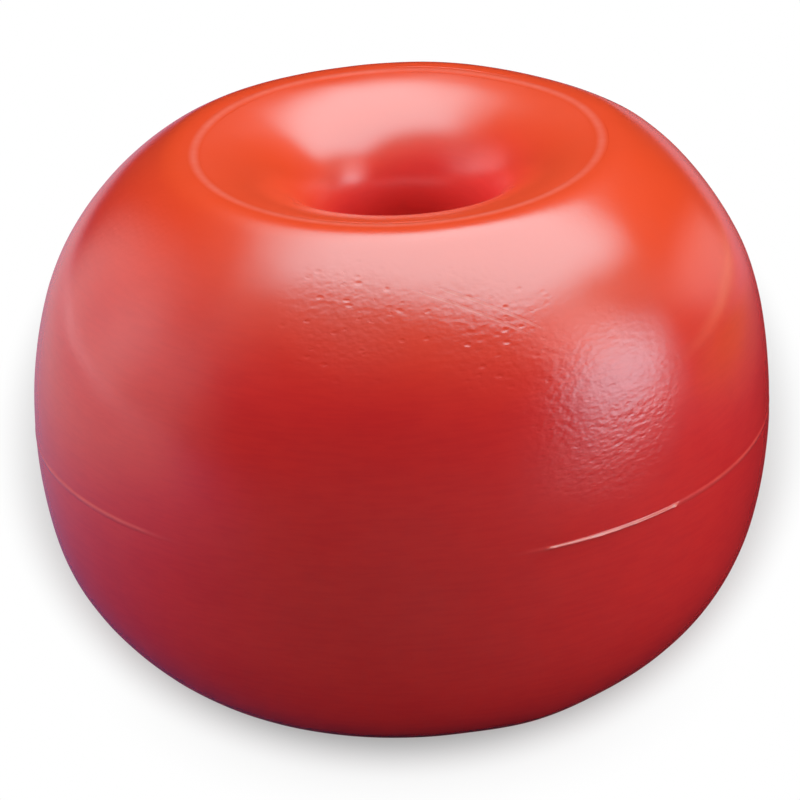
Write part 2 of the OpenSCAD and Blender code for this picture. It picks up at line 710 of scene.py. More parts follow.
class Value:
    """A number that varies over a surface. Arithmetic on it adds Math nodes."""

    def __init__(self, shader: "Shader", socket: bpy.types.NodeSocket) -> None:
        """Wraps an output socket of a shader."""
        self.shader = shader
        self.socket = socket

    def _math(self, operation: str, *terms: "Value | float") -> "Value":
        """Adds a Math node over the terms."""
        node = self.shader.node("ShaderNodeMath", {"operation": operation}, dict(enumerate(terms)))
        return Value(self.shader, node.outputs[0])

    def __add__(self, other: "Value | float") -> "Value":
        """Sum."""
        return self._math("ADD", self, other)

    __radd__ = __add__

    def __sub__(self, other: "Value | float") -> "Value":
        """Difference."""
        return self._math("SUBTRACT", self, other)

    def __rsub__(self, other: "Value | float") -> "Value":
        """Reflected difference."""
        return self._math("SUBTRACT", other, self)

    def __mul__(self, other: "Value | float") -> "Value":
        """Product."""
        return self._math("MULTIPLY", self, other)

    __rmul__ = __mul__

    def __abs__(self) -> "Value":
        """Size without sign."""
        return self._math("ABSOLUTE", self)

    def most(self, other: "Value | float") -> "Value":
        """Larger of two."""
        return self._math("MAXIMUM", self, other)

    def step(self, low: float, high: float) -> "Value":
        """Smooth step between 0 and 1.

        Args:
            low: Value that gives 0.
            high: Value that gives 1, which may be the lower one.

        Returns:
            The stepped value.
        """
        node = self.shader.node(
            "ShaderNodeMapRange",
            {"interpolation_type": "SMOOTHSTEP"},
            {"Value": self, "From Min": low, "From Max": high},
        )
        return Value(self.shader, node.outputs["Result"])


Input = Value | bpy.types.NodeSocket | float | Sequence[float]


class Output(Enum):
    """Kinds of output node, by what the graph belongs to."""

    MATERIAL = "ShaderNodeOutputMaterial"
    WORLD = "ShaderNodeOutputWorld"
    LAMP = "ShaderNodeOutputLight"


class Shader:
    """A node tree of a material, a lamp or the world, and the ways to add nodes to it."""

    def __init__(self, tree: bpy.types.NodeTree, output: Output) -> None:
        """Empties the tree for a new graph."""
        self.tree = tree
        self.output = output
        tree.nodes.clear()

    @classmethod
    def of_material(cls, name: str) -> tuple[bpy.types.Material, "Shader"]:
        """Makes a material with an empty graph.

        Args:
            name: Name of the material.

        Returns:
            The material and its graph.
        """
        material = bpy.data.materials.new(name)
        material.use_nodes = True
        return material, cls(material.node_tree, Output.MATERIAL)

    def node(
        self,
        kind: str,
        settings: Mapping[str, object] | None = None,
        inputs: Mapping[str | int, Input] | None = None,
    ) -> bpy.types.Node:
        """Adds a node.

        Args:
            kind: Blender's name of the node's type.
            settings: Properties, set before the sockets.
            inputs: Values or links of the input sockets, by name or by place.

        Returns:
            The new node.
        """
        node = self.tree.nodes.new(kind)
        for key, setting in (settings or {}).items():
            setattr(node, key, setting)
        for key, value in (inputs or {}).items():
            socket = node.inputs[key]
            if isinstance(value, Value):
                value = value.socket
            if isinstance(value, bpy.types.NodeSocket):
                self.tree.links.new(value, socket)
            elif isinstance(value, Sequence) and socket.type == "RGBA":
                socket.default_value = (*value, 1.0)
            else:
                socket.default_value = value
        return node

    def value(self, socket: bpy.types.NodeSocket) -> Value:
        """Wraps an output socket for arithmetic."""
        return Value(self, socket)

    def vector(self, operation: str, a: Input, b: Input) -> bpy.types.NodeSocket:
        """Vector Math on two vectors, with a vector result."""
        return self.node("ShaderNodeVectorMath", {"operation": operation}, {0: a, 1: b}).outputs["Vector"]

    def measure(self, operation: str, a: Input, b: Input) -> Value:
        """Vector Math on two vectors, with a number as result."""
        node = self.node("ShaderNodeVectorMath", {"operation": operation}, {0: a, 1: b})
        return self.value(node.outputs["Value"])

    def mix(self, factor: Input, a: Input, b: Input) -> bpy.types.NodeSocket:
        """Mix of two colours by a factor.

        Args:
            factor: Share of the second colour.
            a: First colour.
            b: Second colour.

        Returns:
            The mixed colour's socket.
        """
        settings = {"data_type": "RGBA", "clamp_factor": True}
        return self.node("ShaderNodeMix", settings, {0: factor, 6: a, 7: b}).outputs[2]

    def place(self) -> bpy.types.NodeSocket:
        """Place on the piece, in metres."""
        return self.node("ShaderNodeTexCoord").outputs["Object"]

    def facing(self, direction: Point) -> Value:
        """How far the surface looks towards a direction: 1 is squarely, 0 is edge on, -1 is away."""
        normal = self.node("ShaderNodeNewGeometry").outputs["Normal"]
        return self.measure("DOT_PRODUCT", normal, direction)

    def surface(self, shader: bpy.types.NodeSocket) -> None:
        """Makes a shader the graph's result."""
        self.node(self.output.value, None, {"Surface": shader})


@dataclass(frozen=True)
class Cloud:
    """Noise over the skin that mottles, dulls or wrinkles it.

    Attributes:
        size: Size of its features, in metres.
        detail: Finer octaves that are added.
        rough: Share of the finer octaves.
        level: Factor on X and Y; below 1 it draws the features out level.
        band: Values of the noise that become 0 and 1, where it is stepped.
    """

    size: float
    detail: float = 2.0
    rough: float = 0.5
    level: float = 1.0
    band: tuple[float, float] | None = None

    def at(self, shader: Shader, place: Input) -> Value:
        """Noise at a place.

        Args:
            shader: Graph to add to.
            place: Place on the piece.

        Returns:
            The noise, about 0 to 1.
        """
        drawn = shader.vector("MULTIPLY", place, (self.level, self.level, 1.0))
        settings = {"noise_dimensions": "3D", "normalize": True}
        inputs = {"Vector": drawn, "Scale": 1 / self.size, "Detail": self.detail, "Roughness": self.rough}
        noise = shader.value(shader.node("ShaderNodeTexNoise", settings, inputs).outputs[0])
        return noise.step(*self.band) if self.band else noise


@dataclass(frozen=True)
class Pits:
    """Scattered round pits, at most one in each cell of the skin.

    Attributes:
        cell: Mean width of the cells, in metres.
        share: Share of the cells that have a pit.
        level: Factor on X and Y; below 1 it draws the pits out level.
        rim: Distance from the cell's middle at which a pit starts, in cells.
        floor: Distance within which it is at full depth, in cells.
        blur: How far a cell's chance may miss the share and still give a faint pit.
    """

    cell: float
    share: float
    level: float = 1.0
    rim: float = 0.42
    floor: float = 0.05
    blur: float = 0.05

    def at(self, shader: Shader, place: Input) -> Value:
        """Share of pit at a place.

        Args:
            shader: Graph to add to.
            place: Place on the piece.

        Returns:
            1 in the middle of a pit and 0 outside.
        """
        drawn = shader.vector("MULTIPLY", place, (self.level, self.level, 1.0))
        settings = {"voronoi_dimensions": "3D", "feature": "F1", "distance": "EUCLIDEAN"}
        cells = shader.node("ShaderNodeTexVoronoi", settings, {"Vector": drawn, "Scale": 1 / self.cell})
        channels = shader.node("ShaderNodeSeparateColor", None, {0: cells.outputs["Color"]})
        chosen = shader.value(channels.outputs[0]).step(self.share + self.blur, self.share - self.blur)
        return shader.value(cells.outputs["Distance"]).step(self.rim, self.floor) * chosen


@dataclass(frozen=True)
class Patch:
    """A patch of the skin with coarser orange peel or with pits.

    Attributes:
        bearing: Bearing of its middle, in degrees.
        height: Height of its middle above the widest line, in metres.
        radius: Radius at which it has faded out, in metres.
        peel: Share of the coarse orange peel, 0 to 1.
        pits: Share of the pits, 0 to 1.
        core: Share of the radius over which it is at full strength.
    """

    bearing: float
    height: float
    radius: float
    peel: float
    pits: float
    core: float = 0.35


@dataclass(frozen=True)
class Scratch:
    """A fine straight scratch between two places of the outer skin.

    Attributes:
        start: Bearing in degrees and height above the widest line in metres.
        stop: The same at its other end.
        width: Width in metres.
        faded_in: Share of its length by which it has faded in.
        fading_out: Share of its length from which it fades out.
    """

    start: tuple[float, float]
    stop: tuple[float, float]
    width: float = 0.7 * MM
    faded_in: float = 0.2
    fading_out: float = 0.75


@dataclass(frozen=True)
class Plastic:
    """Glossy moulded plastic with painted light on the faces towards the lamps, orange peel, pits, drag
    marks and scratches.

    Attributes:
        name: Name of the material.
        body: Colour of the plastic.
        deep: Darker colour in the mottling and the drag marks.
        lit_tint: Lighter orange painted on the faces turned towards the lamps above and to the right:
            painted light.
        lit_from: Direction that the painted light comes from.
        lit_band: How squarely a face looks that way where the painted light starts and where it is full.
        pale: Pale colour of the scuffed scratches, and of the painted highlight along the beads' crests.
        roughness: Usual roughness.
        ior: Index of refraction.
        peel: Height of the coarse orange peel's wrinkles, in millimetres.
        pit: Depth of the pits, in millimetres.
        grain: Height of the fine grain, in millimetres.
        scratch_depth: Depth of the scratches, in millimetres.
        patches: Places with coarser peel.
        scratches: Scratches.
        sheen: Clouds of duller and shinier skin.
        mottle: Darker blotches.
        drag_marks: Darker marks along the skin.
        coarse: Clouds of coarser peel and of pits away from the patches.
        wrinkles: The coarse orange peel.
        worn: Places where the pits are not worn away.
        fine: The fine grain.
        pits: The pits.
        sheen_dull: Roughness between the dullest and the shiniest clouds.
        peel_dull: Roughness that the coarse peel adds.
        scratch_dull: Roughness that a scratch adds.
        mottle_share: Share of the darker colour in the blotches.
        drag_share: Share of the darker colour in the drag marks.
        scuff_share: Share of the pale colour in a scratch.
        least_peel: Share of coarse peel everywhere.
        coarse_peel: Share of coarse peel that the clouds add.
        coarse_pits: Share of pits in the clouds.
    """

    name: str
    body: Colour = (0.70, 0.026, 0.024)
    deep: Colour = (0.62, 0.018, 0.022)
    lit_tint: Colour = (0.76, 0.066, 0.016)
    lit_from: Point = (0.22, 0.0, 0.975)
    lit_band: tuple[float, float] = (0.25, 0.95)
    pale: Colour = (0.92, 0.70, 0.64)
    roughness: float = 0.2
    ior: float = 1.8
    peel: float = 0.13
    pit: float = 0.08
    grain: float = 0.0035
    scratch_depth: float = 0.014
    patches: tuple[Patch, ...] = ()
    scratches: tuple[Scratch, ...] = ()
    sheen: Cloud = Cloud(18 * MM, 3.0, 0.55)
    mottle: Cloud = Cloud(14 * MM, 4.0, 0.6, band=(0.35, 0.7))
    drag_marks: Cloud = Cloud(1.1 * MM, 2.0, 0.6, level=0.12, band=(0.35, 0.7))
    coarse: Cloud = Cloud(45 * MM, band=(0.4, 0.7))
    wrinkles: Cloud = Cloud(1.25 * MM, 1.0, 0.4, level=0.6)
    worn: Cloud = Cloud(1.6 * MM, level=0.6, band=(0.3, 0.6))
    fine: Cloud = Cloud(0.7 * MM, 1.0)
    pits: Pits = Pits(1.7 * MM, 0.42, level=0.5)
    sheen_dull: float = 0.10
    peel_dull: float = 0.04
    scratch_dull: float = 0.15
    mottle_share: float = 0.3
    drag_share: float = 0.35
    scuff_share: float = 0.06
    least_peel: float = 0.1
    coarse_peel: float = 0.14
    coarse_pits: float = 0.2

    def material(self, section: Section) -> bpy.types.Material:
        """Builds the material.

        Args:
            section: Section that places the patches and scratches.

        Returns:
            The material.
        """
        material, shader = Shader.of_material(self.name)
        place = shader.place()
        peel, pitted = self._patchiness(shader, place, section)
        scratched = self._scratched(shader, place, section)
        height = self._height(shader, place, peel, pitted) - self.scratch_depth * scratched
        bump = shader.node("ShaderNodeBump", None, {"Strength": 1.0, "Distance": MM, "Height": height})
        sheen = self.sheen_dull * (self.sheen.at(shader, place) - 0.5)
        inputs = {
            "Base Color": self._colour(shader, place, scratched),
            "Roughness": self.roughness + sheen + self.peel_dull * peel + self.scratch_dull * scratched,
            "IOR": self.ior,
            "Normal": bump.outputs["Normal"],
        }
        principled = shader.node("ShaderNodeBsdfPrincipled", None, inputs)
        shader.surface(principled.outputs["BSDF"])
        return material

    def _colour(self, shader: Shader, place: Input, scratched: Value | float) -> bpy.types.NodeSocket:
        """Colour with mottling, painted light on the faces towards the lamps, pale scratches and the beads'
        painted highlight.

        Args:
            shader: Graph to add to.
            place: Place on the piece.
            scratched: Share of scratch.

        Returns:
            The colour's socket.
        """
        mottle = self.mottle_share * self.mottle.at(shader, place)
        drag_marks = self.drag_share * self.drag_marks.at(shader, place)
        body = shader.mix(mottle + drag_marks, self.body, self.deep)
        # Painted light: faces turned up and to the right, towards the lamps, are painted a lighter orange.
        lit_tint = shader.mix(shader.facing(self.lit_from).step(*self.lit_band), body, self.lit_tint)
        scuffed = shader.mix(self.scuff_share * scratched, lit_tint, self.pale)
        # Painted highlight: the beads' crests are painted pale by the share that each bead carries.
        highlight_share = shader.node("ShaderNodeAttribute", {"attribute_name": CREST_HIGHLIGHT})
        return shader.mix(highlight_share.outputs["Fac"], scuffed, self.pale)

    def _patchiness(self, shader: Shader, place: Input, section: Section) -> tuple[Value, Value]:
        """Shares of coarse orange peel and of pits: faint clouds everywhere, and the named patches.

        Args:
            shader: Graph to add to.
            place: Place on the piece.
            section: Section that places the patches.

        Returns:
            The two shares, from 0.
        """
        coarse = self.coarse.at(shader, place)
        peel = self.least_peel + self.coarse_peel * coarse
        pits = self.coarse_pits * coarse
        for patch in self.patches:
            middle, _ = section.on_skin(patch.bearing, patch.height)
            near = shader.measure("DISTANCE", place, middle).step(patch.radius, patch.radius * patch.core)
            peel = peel.most(patch.peel * near)
            pits = pits.most(patch.pits * near)
        return peel, pits

    def _scratched(self, shader: Shader, place: Input, section: Section) -> Value | float:
        """Share of scratch at a place.

        Args:
            shader: Graph to add to.
            place: Place on the piece.
            section: Section that places the scratches.

        Returns:
            The share, 0 to 1; plain 0 where the finish has no scratches.
        """
        share: Value | float = 0.0
        for scratch in self.scratches:
            start, normal = section.on_skin(*scratch.start)
            stop, _ = section.on_skin(*scratch.stop)
            along = stop - start
            side = along.cross(normal).normalized()
            offset = shader.vector("SUBTRACT", place, start)
            across = abs(shader.measure("DOT_PRODUCT", offset, side)).step(scratch.width, 0.0)
            run = shader.measure("DOT_PRODUCT", offset, along / along.length_squared)
            ends = run.step(0.0, scratch.faded_in) * run.step(1.0, scratch.fading_out)
            outside = shader.measure("DOT_PRODUCT", offset, normal).step(-section.waist_r / 2, 0.0)
            one = across * ends * outside
            share = one if isinstance(share, float) else share.most(one)
        return share

    def _height(self, shader: Shader, place: Input, peel: Value, pitted: Value) -> Value:
        """Height of the fine relief, in millimetres.

        Args:
            shader: Graph to add to.
            place: Place on the piece.
            peel: Share of coarse orange peel.
            pitted: Share of pits.

        Returns:
            The height.
        """
        wrinkles = self.wrinkles.at(shader, place)
        pits = self.worn.at(shader, place) * self.pits.at(shader, place)
        grain = self.fine.at(shader, place)
        return self.peel * peel * wrinkles - self.pit * pitted * pits + self.grain * grain


class LampFace(Enum):
    """Which way a lamp's panel faces."""

    AT_FLOAT = "at the float"
    DOWN = "straight down"


class LampUse(Enum):
    """What a lamp lights: the body colour or the gloss."""

    BODY = "body colour"
    GLOSS = "gloss"


class LampShape(Enum):
    """Outline of a lamp's panel."""

    RECTANGLE = "RECTANGLE"
    ELLIPSE = "ELLIPSE"


@dataclass(frozen=True)
class Lamp:
    """A soft panel lamp.

    Attributes:
        name: Name of the lamp.
        use: What the lamp lights.
        bearing: Bearing in degrees from the front towards the right.
        elevation: Degrees above the float's middle.
        distance: Distance from the float's middle, in metres.
        size: Width and height of the panel, in metres.
        radiance: Brightness of a rectangular panel, where 1 is white; an ellipse is 4 / pi times as bright.
        colour: Tint.
        face: Way that the panel faces.
        shape: Outline of the panel.
        soft: Share of the panel's half over which its light fades out to the edge.
        lean: Degrees by which the panel is turned about its own middle.
    """

    name: str
    use: LampUse
    bearing: float
    elevation: float
    distance: float
    size: tuple[float, float]
    radiance: float
    colour: Colour = WHITE
    face: LampFace = LampFace.AT_FLOAT
    shape: LampShape = LampShape.RECTANGLE
    soft: float = 0.35
    lean: float = 0.0

    def build(self, middle: Vector) -> bpy.types.Object:
        """Makes the lamp.

        Args:
            middle: The float's middle.

        Returns:
            The lamp's object.
        """
        light = bpy.data.lights.new(self.name, "AREA")
        light.shape = self.shape.value
        light.size, light.size_y = self.size
        light.color = self.colour
        light.energy = self.radiance * math.pi * self.size[0] * self.size[1]
        light.use_nodes = True
        self._fade(Shader(light.node_tree, Output.LAMP))
        lamp = bpy.data.objects.new(self.name, light)
        level = math.radians(self.elevation)
        away = Vector(on_bearing(math.cos(level), self.bearing, math.sin(level))) * self.distance
        turn = Quaternion((0.0, 0.0, 1.0), -math.radians(self.lean))
        if self.face is LampFace.AT_FLOAT:
            turn = away.to_track_quat("Z", "Y") @ turn
        lamp.matrix_world = Matrix.LocRotScale(middle + away, turn, None)
        lamp.visible_camera = False
        lamp.visible_glossy = self.use is LampUse.GLOSS
        lamp.visible_diffuse = self.use is LampUse.BODY
        bpy.context.scene.collection.objects.link(lamp)
        return lamp

    def _fade(self, shader: Shader) -> None:
        """Fades the panel out towards its edge.

        Args:
            shader: The lamp's graph.
        """
        half = 0.5
        inner = half * (1 - self.soft)
        across = shader.node("ShaderNodeNewGeometry").outputs["Parametric"]
        if self.shape is LampShape.ELLIPSE:
            glow = shader.measure("DISTANCE", across, (half, half, 0.0)).step(half, inner)
        else:
            offset = shader.vector("SUBTRACT", across, (half, half, 0.0))
            axes = shader.node("ShaderNodeSeparateXYZ", None, {0: offset}).outputs
            wide = abs(shader.value(axes["X"])).step(half, inner)
            glow = wide * abs(shader.value(axes["Y"])).step(half, inner)
        light = shader.node("ShaderNodeEmission", None, {"Color": shader.mix(glow, BLACK, WHITE)})
        shader.surface(light.outputs["Emission"])


@dataclass(frozen=True)
class View:
    """The camera of the picture, placed about the float's middle.

    Attributes:
        elevation: Degrees above the horizon.
        distance: Distance from the float's middle, in metres.
        focal_px: Focal length in pixels of the image.
        image_px: Width of the square image in pixels.
        middle_px: Place of the float's middle in the image, from the image's centre, right and down.
        roll: Degrees by which the picture's right side is turned up.
        sensor: Width of the sensor in millimetres.
    """

    elevation: float = 24.71
    distance: float = 1.61
    focal_px: float = 5906.0
    image_px: float = 800.0
    middle_px: tuple[float, float] = (1.7, -5.5)
    roll: float = 2.64
    sensor: float = 36.0

    def build(self, middle: Vector) -> bpy.types.Object:
        """Makes the camera and sets it as the scene's.

        Args:
            middle: The float's middle.

        Returns:
            The camera's object.
        """
        level = math.radians(self.elevation)
        ahead = Vector((0.0, math.cos(level), -math.sin(level)))
        right = Vector((1.0, 0.0, 0.0))
        up = right.cross(ahead)
        yaw = math.atan2(self.middle_px[0], self.focal_px)
        pitch = math.atan2(self.middle_px[1], self.focal_px)
        right, ahead_yawed = (
            math.cos(yaw) * right + math.sin(yaw) * ahead,
            math.cos(yaw) * ahead - math.sin(yaw) * right,
        )
        up, aim = (
            math.cos(pitch) * up - math.sin(pitch) * ahead_yawed,
            math.cos(pitch) * ahead_yawed + math.sin(pitch) * up,
        )
        roll = math.radians(self.roll)
        right, up = (
            math.cos(roll) * right - math.sin(roll) * up,
            math.sin(roll) * right + math.cos(roll) * up,
        )
        data = bpy.data.cameras.new("camera")
        data.sensor_width = self.sensor
        data.lens = self.focal_px / self.image_px * self.sensor
        camera = bpy.data.objects.new("camera", data)
        turn = Matrix((right, up, -aim)).transposed()
        camera.matrix_world = Matrix.LocRotScale(middle - ahead * self.distance, turn.to_quaternion(), None)
        bpy.context.scene.collection.objects.link(camera)
        bpy.context.scene.camera = camera
        return camera


@dataclass(frozen=True)
class Oval:
    """A soft oval on the floor.

    Attributes:
        middle: Its place, in metres.
        reach: Half widths along X and Y at which it has faded out, in metres.
        core: Share of the reach over which it is at full strength.
    """

    middle: tuple[float, float]
    reach: tuple[float, float]
    core: float

    def share(self, shader: Shader, place: Input) -> Value:
        """Strength at a place.

        Args:
            shader: Graph to add to.
            place: Place on the floor.

        Returns:
            1 in the core and 0 outside.
        """
        offset = shader.vector("SUBTRACT", place, (*self.middle, 0.0))
        scaled = shader.vector("DIVIDE", offset, (*self.reach, 1.0))
        return shader.measure("DISTANCE", scaled, (0.0, 0.0, 0.0)).step(1.0, self.core)


@dataclass(frozen=True)
class Glow(Oval):
    """A soft patch of light on the dark card, in its own colour."""

    colour: Colour


@dataclass(frozen=True)
class Shade(Oval):
    """A painted shadow: a soft patch of the floor that is less white, by its own depth."""

    depth: float


@dataclass
class Studio:
    """Pale floor, soft lamps, a dark card that only gloss shows, and the camera.

    Attributes:
        middle: The float's middle.
        view: Camera.
        lamps: Lamps.
        floor_half: Half of the floor's width, in metres.
        floor_grey: Reflectance of the floor.
        shades: Painted shadows: patches of the floor that are seen less white, close under the float and
            behind it.
        card_height: Height of the dark card above the floor, in metres.
        surround: Brightness of the surroundings away from the camera.
        card_dark: Colour of the card away from its glows.
        glows: Patches of light on the card.
    """

    middle: Vector
    view: View
    lamps: tuple[Lamp, ...]
    floor_half: float = 20.0
    floor_grey: Colour = (0.5, 0.5, 0.5)
    shades: tuple[Shade, ...] = (
        Shade((0.0, 0.0), (93 * MM, 112 * MM), 0.46, 0.18),
        Shade((0.0, 158 * MM), (124 * MM, 244 * MM), 0.845, 0.69),
    )
    card_height: float = 1.0 * MM
    surround: Colour = (0.02, 0.02, 0.02)
    card_dark: Colour = (0.014, 0.009, 0.02)
    glows: tuple[Glow, ...] = (
        Glow((-0.9, 0.45), (1.05, 1.05), 0.75, (0.17, 0.11, 0.34)),
        Glow((-0.9, 0.45), (0.95, 0.95), 0.62, (0.78, 0.60, 0.66)),
        Glow((0.44, 0.95), (0.42, 1.1), 0.45, (0.56, 0.38, 0.48)),
        Glow((0.55, 0.2), (0.36, 0.24), 0.3, (0.45, 0.26, 0.06)),
        Glow((1.1, -0.3), (1.0, 0.42), 0.2, (1.6, 1.57, 1.66)),
        Glow((2.0, 1.0), (1.6, 1.3), 0.3, (1.05, 0.8, 0.42)),
    )

    def build(self) -> None:
        """Makes the floor, the card, the surroundings, the lamps and the camera."""
        floor = self._plane("floor", 0.0)
        floor.data.materials.append(self._floor_finish())
        card = self._plane("gloss_card", self.card_height)
        card.data.materials.append(self._card_finish())
        card.visible_camera = False
        card.visible_diffuse = False
        card.visible_shadow = False
        card.visible_transmission = False
        self._surroundings()
        for lamp in self.lamps:
            lamp.build(self.middle)
        self.view.build(self.middle)
        bpy.context.scene.view_settings.view_transform = "Standard"

    def _plane(self, name: str, height: float) -> bpy.types.Object:
        """Makes a level square as wide as the floor.

        Args:
            name: Name of the object.
            height: Height above the ground.

        Returns:
            The new object, linked to the scene.
        """
        corners = ((-1, -1), (1, -1), (1, 1), (-1, 1))
        places = [(x * self.floor_half, y * self.floor_half, height) for x, y in corners]
        mesh = bpy.data.meshes.new(name)
        mesh.from_pydata(places, [], [(0, 1, 2, 3)])
        plane = bpy.data.objects.new(name, mesh)
        bpy.context.scene.collection.objects.link(plane)
        return plane

    @staticmethod
    def _seen(shader: Shader) -> Value:
        """Tells the rays that show the background itself: from the camera, in gloss and through glass.

        Args:
            shader: Graph to add to.

        Returns:
            1 for those rays and 0 for others.
        """
        path = shader.node("ShaderNodeLightPath")
        seen = shader.value(path.outputs["Is Camera Ray"]).most(shader.value(path.outputs["Is Glossy Ray"]))
        return seen.most(shader.value(path.outputs["Is Transmission Ray"]))

    def _floor_finish(self) -> bpy.types.Material:
        """Pale floor that keeps its soft shadow, with painted shadows close under the float and behind it.

        Returns:
            The floor's material.
        """
        material, shader = Shader.of_material("pale_floor")
        matt = shader.node("ShaderNodeBsdfDiffuse", None, {"Color": self.floor_grey})
        white = shader.node("ShaderNodeEmission", None, {"Color": WHITE})
        place = shader.place()
        share = self._seen(shader)
        # Painted shadow: each shade makes the floor less white under and behind the float.
        for shade in self.shades:
            share = share * (1.0 - shade.depth * shade.share(shader, place))
        inputs = {0: share, 1: matt.outputs["BSDF"], 2: white.outputs["Emission"]}
        shader.surface(shader.node("ShaderNodeMixShader", None, inputs).outputs["Shader"])
        return material

    def _card_finish(self) -> bpy.types.Material:
        """Dark card with soft glows, which keeps the white floor out of the gloss.

        Returns:
            The card's material.
        """
        material, shader = Shader.of_material("gloss_card")
        place = shader.place()
        colour: Input = self.card_dark
        for glow in self.glows:
            colour = shader.mix(glow.share(shader, place), colour, glow.colour)
        shader.surface(shader.node("ShaderNodeEmission", None, {"Color": colour}).outputs["Emission"])
        return material

    def _surroundings(self) -> None:
        """White to the camera and dim elsewhere."""
        world = bpy.data.worlds.new("surroundings")
        world.use_nodes = True
        bpy.context.scene.world = world
        shader = Shader(world.node_tree, Output.WORLD)
        path = shader.node("ShaderNodeLightPath")
        colour = shader.mix(path.outputs["Is Camera Ray"], self.surround, WHITE)
        shader.surface(shader.node("ShaderNodeBackground", None, {"Color": colour}).outputs["Background"])


@dataclass
class Float:
    """The whole float: two shells, two funnels and three weld beads.

    Attributes:
        section: The float's section.
        shell_plastic: Finish of the shells.
        funnel_plastic: Finish of the funnels, painted lighter than the shells' as painted light in the
            recess and the hole.
        weld_plastic: Finish of the beads.
        waist_groove: Groove along the waist seam.
        ring_groove: Groove along each ring seam.
        shell_waves: Wavelengths and heights of the shells' unevenness.
        funnel_waves: Wavelengths and heights of the funnels' unevenness.
        shell_seed: Seed of the shells' unevenness.
        funnel_seed: Seed of the funnels' unevenness.
        funnel_steps: Steps round a funnel's full turn.
        ring_proud: Height of the ring beads above the skin.
        ring_pale_at: Height at which a ring bead's painted highlight would be full.
        ring_seed: Seed of the ring beads' wandering.
        ring_steps: Steps round a ring bead's full turn.
        waist_proud: Usual height of the waist bead above the skin.
        waist_pale_at: Height at which the waist bead's painted highlight would be full.
        waist_seed: Seed of the waist bead's wandering.
        waist_stretches: Stretches of the waist bead: behind, at the front, the thick run, and behind again.
        waist_blobs: Drop at the thick run's end.
    """

    section: Section
    shell_plastic: Plastic = Plastic(
        "shell_plastic",
        patches=(
            Patch(bearing=-10.0, height=59 * MM, radius=26 * MM, peel=0.75, pits=1.0),
            Patch(bearing=14.0, height=56 * MM, radius=26 * MM, peel=0.8, pits=1.0),
            Patch(bearing=32.0, height=31 * MM, radius=36 * MM, peel=1.0, pits=0.6),
            Patch(bearing=150.0, height=40 * MM, radius=40 * MM, peel=0.7, pits=0.6),
            Patch(bearing=-120.0, height=30 * MM, radius=34 * MM, peel=0.6, pits=0.6),
        ),
        scratches=(
            Scratch((0.0, 64.6 * MM), (23.5, 50.5 * MM)),
            Scratch((5.0, 64.7 * MM), (26.3, 50.9 * MM)),
        ),
    )
    funnel_plastic: Plastic = Plastic(
        "funnel_plastic",
        # Painted light: body and deep colours lighter than the shells' stand in for the light inside the
        # recess and the hole.
        body=(0.80, 0.044, 0.038),
        deep=(0.74, 0.036, 0.034),
        roughness=0.24,
        peel=0.04,
        pit=0.02,
    )
    weld_plastic: Plastic = Plastic("weld_plastic", peel=0.03, pit=0.0)
    waist_groove: Groove = Groove(1.1 * MM)
    ring_groove: Groove = Groove(1.9 * MM)
    shell_waves: tuple[tuple[float, float], ...] = ((55 * MM, 0.06 * MM), (12 * MM, 0.010 * MM))
    funnel_waves: tuple[tuple[float, float], ...] = ((40 * MM, 0.05 * MM), (11 * MM, 0.008 * MM))
    shell_seed: int = 11
    funnel_seed: int = 21
    funnel_steps: int = 512
    ring_proud: float = 0.08 * MM
    ring_pale_at: float = 0.9 * MM
    ring_seed: int = 31
    ring_steps: int = 720
    waist_proud: float = 0.17 * MM
    waist_pale_at: float = 3.4 * MM
    waist_seed: int = 41
    waist_stretches: tuple[Stretch, ...] = (
        Stretch(-180.0, -76.0, 0.08 * MM, blend=10.0),
        Stretch(-42.0, 20.5, 0.0, blend=16.0),
        Stretch(21.0, 45.0, 0.5 * MM, blend=1.5, sharpness=3.6),
        Stretch(76.0, 180.0, 0.08 * MM, blend=10.0),
    )
    waist_blobs: tuple[Blob, ...] = (Blob(44.4, 0.3 * MM, 0.9 * MM),)

    def build(self) -> None:
        """Builds and dresses every piece."""
        shell = self.shell_plastic.material(self.section)
        funnel = self.funnel_plastic.material(self.section)
        weld = self.weld_plastic.material(self.section)
        for end, word in ((End.TOP, "upper"), (End.BOTTOM, "lower")):
            dress(self._shell(end, word), shell, Slot.SHELL, f"{word}_shell")
        for end, word in ((End.TOP, "top"), (End.BOTTOM, "bottom")):
            dress(self._funnel(end, word), funnel, Slot.FUNNEL, f"{word}_funnel")
            dress(self._ring_bead(end, word), weld, Slot.WELD, f"{word}_ring_weld")
        dress(self._waist_bead(), weld, Slot.WELD, "waist_weld")

    def _shell(self, end: End, word: str) -> bpy.types.Object:
        """Builds the outer moulding of one end.

        Args:
            end: The end.
            word: Word for it in the piece's name.

        Returns:
            The new piece.
        """
        return Moulding(
            section=self.section,
            name=f"{word}_shell_skin",
            end=end,
            start=self.section.run_at(self.section.seam_z * end.value),
            stop=self.section.ring_run,
            grooves=(self.waist_groove, self.ring_groove),
            uneven=Unevenness(self.shell_seed + end.value, self.shell_waves),
        ).build()

    def _funnel(self, end: End, word: str) -> bpy.types.Object:
        """Builds the trumpet of one end with its half of the hole.

        Args:
            end: The end.
            word: Word for it in the piece's name.

        Returns:
            The new piece.
        """
        return Moulding(
            section=self.section,
            name=f"{word}_funnel_skin",
            end=end,
            start=self.section.ring_run,
            stop=self.section.end_run,
            grooves=(self.ring_groove, None),
            uneven=Unevenness(self.funnel_seed + end.value, self.funnel_waves),
            steps=self.funnel_steps,
        ).build()

